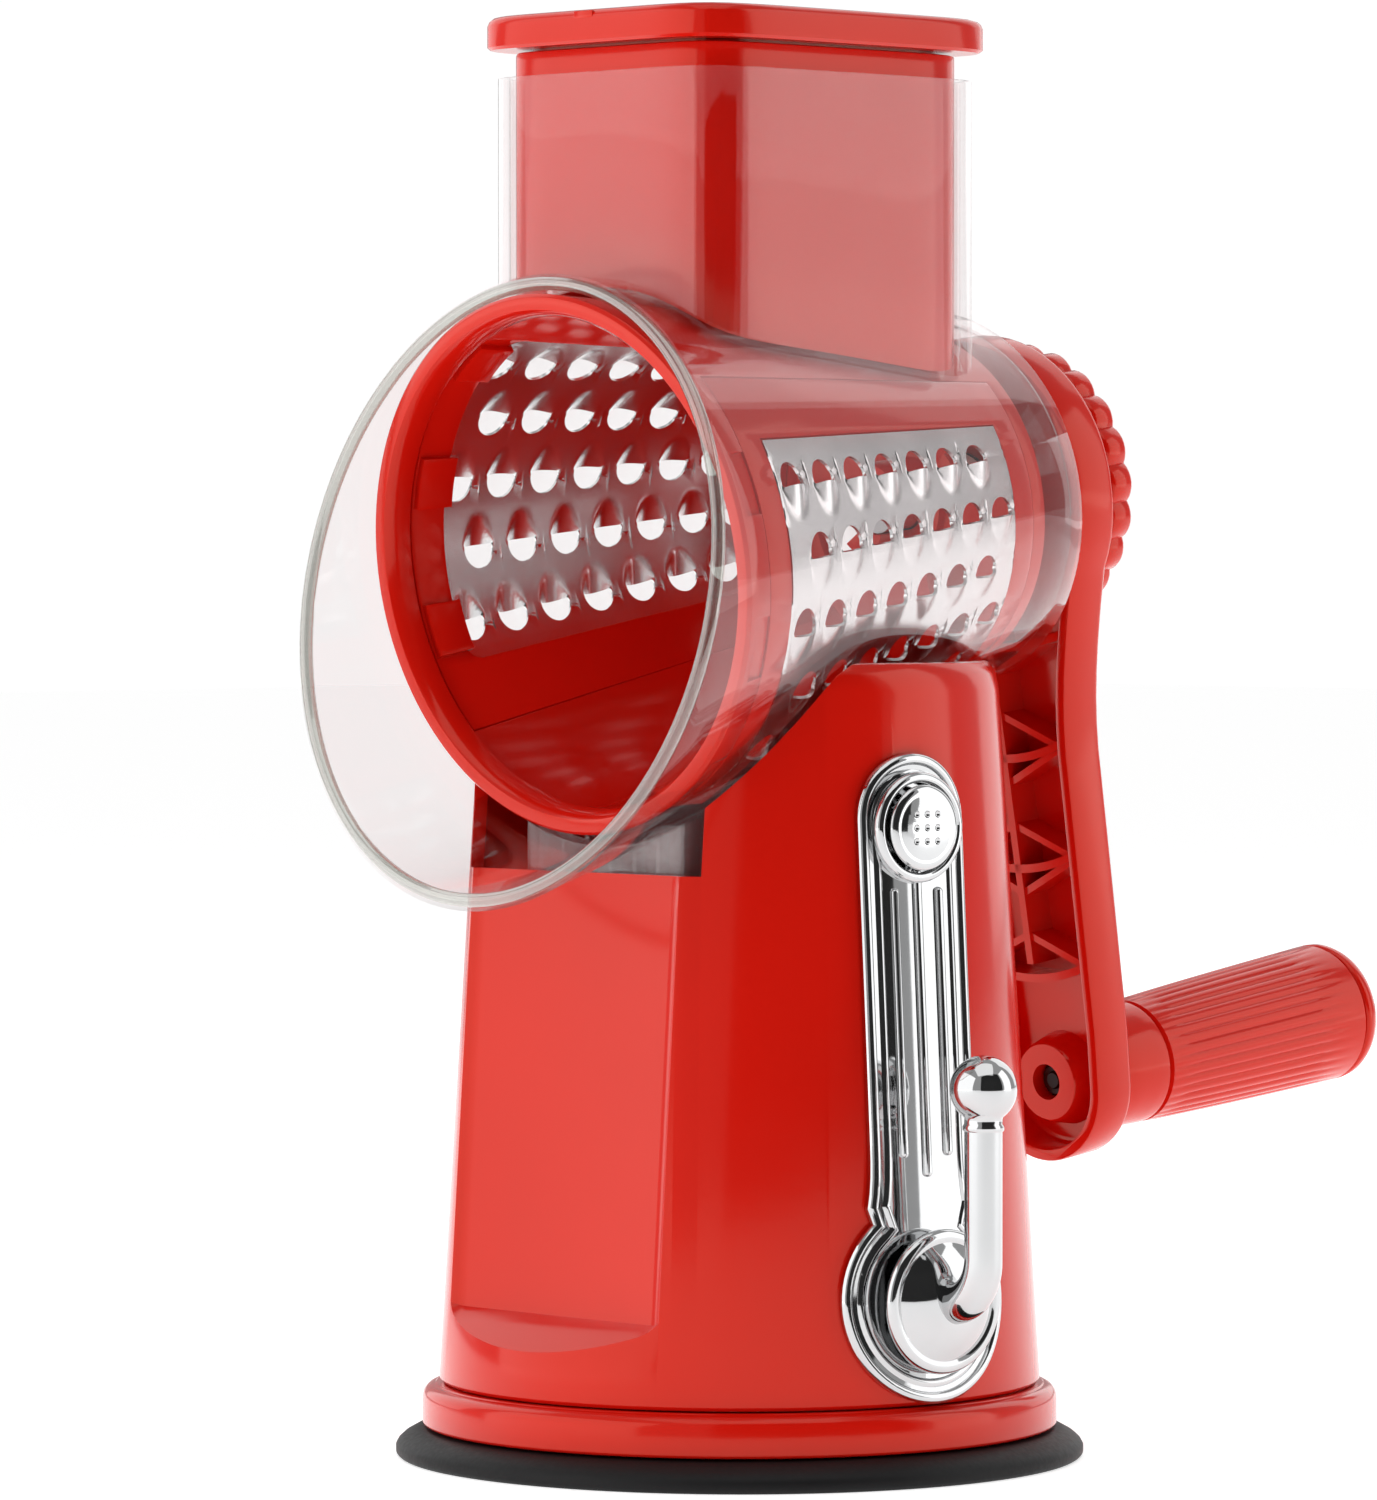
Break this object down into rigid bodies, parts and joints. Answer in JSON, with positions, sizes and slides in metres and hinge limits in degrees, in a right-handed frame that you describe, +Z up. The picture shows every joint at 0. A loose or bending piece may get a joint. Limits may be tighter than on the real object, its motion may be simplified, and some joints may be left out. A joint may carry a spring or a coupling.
{
  "type": "rotary cheese grater",
  "caption": "Hand-cranked drum grater on a suction base, with a clear housing, feed hopper, pusher and side lever.",
  "frame": {"origin": "centre of the suction pad's flat underside, on the worktop", "axes": "+Z up along the column, -Y the way the mouth faces, +Y towards the crank, +X the side with the lever plate"},
  "size_m": [0.1553, 0.2642, 0.2957],
  "materials": {
    "red_plastic": "gloss",
    "clear_plastic": "clear gloss",
    "chrome": "mirror",
    "stainless": "satin",
    "black_rubber": "matte",
    "nylon": "satin"
  },
  "bodies": {
    "base": {"suction_pad": "black_rubber", "base_flange": "red_plastic", "base_plate": "red_plastic", "base_screw_1": "stainless", "base_screw_2": "stainless", "base_screw_3": "stainless", "base_screw_4": "stainless", "column_shell": "red_plastic", "socket_deck": "red_plastic", "shaft_bush": "nylon", "shaft_bracket": "red_plastic", "side_plate": "chrome", "button_spring": "stainless"},
    "suction_lever": {"lever_hub": "chrome", "lever_arm": "chrome", "lever_ball": "chrome", "cam": "nylon", "cam_shaft": "stainless"},
    "suction_stem": {"pull_stem": "stainless", "stem_clip": "stainless"},
    "button": {"release_button": "chrome", "latch": "nylon"},
    "housing_body": {"housing": "clear_plastic", "bearing_bush": "nylon"},
    "pusher": {"pusher_shell": "red_plastic", "pusher_cap": "red_plastic"},
    "drum_and_crank": {"drum_frame": "red_plastic", "blade_panel_right": "red_plastic", "blade_panel_left": "red_plastic", "grater_plate_right": "stainless", "grater_plate_left": "stainless", "drive_shaft": "stainless", "hub_seal": "black_rubber", "crank_arm": "red_plastic", "lock_knob": "red_plastic", "grip_pin": "stainless"},
    "grip_body": {"grip": "red_plastic", "grip_cap": "red_plastic"}
  },
  "joints": [
    {"name": "suction_lever_turn", "type": "hinge", "parent": "base", "child": "suction_lever", "pos_m": [0, 0, 0.0364], "axis": [0.9945, -0.1045, 0], "range_deg": [0, 90]},
    {"name": "suction_stem_lift", "type": "slide", "parent": "base", "child": "suction_stem", "axis": [0, 0, 1], "range_m": [0, 0.0048]},
    {"name": "release_button_press", "type": "slide", "parent": "base", "child": "button", "axis": [-0.9945, 0.1045, 0], "range_m": [0, 0.003], "stiffness_N_per_m": 400, "springref_m": -0.002, "deforming": ["button_spring"]},
    {"name": "housing_lift_off", "type": "slide", "parent": "base", "child": "housing_body", "axis": [0, 0, 1], "range_m": [0, 0.05]},
    {"name": "pusher_slide", "type": "slide", "parent": "housing_body", "child": "pusher", "axis": [0, 0, 1], "range_m": [0, 0.1]},
    {"name": "drum_spin", "type": "hinge", "parent": "housing_body", "child": "drum_and_crank", "pos_m": [0, 0, 0.18995], "axis": [0, 0.9919, 0.1267], "continuous": true},
    {"name": "grip_spin", "type": "hinge", "parent": "drum_and_crank", "child": "grip_body", "pos_m": [0, 0.01627, 0.06259], "axis": [0, 0.9919, 0.1267], "continuous": true}
  ],
  "couplings": [
    {"joint": "suction_stem_lift", "follows": "suction_lever_turn", "m_per_rad": 0.0030557}
  ]
}
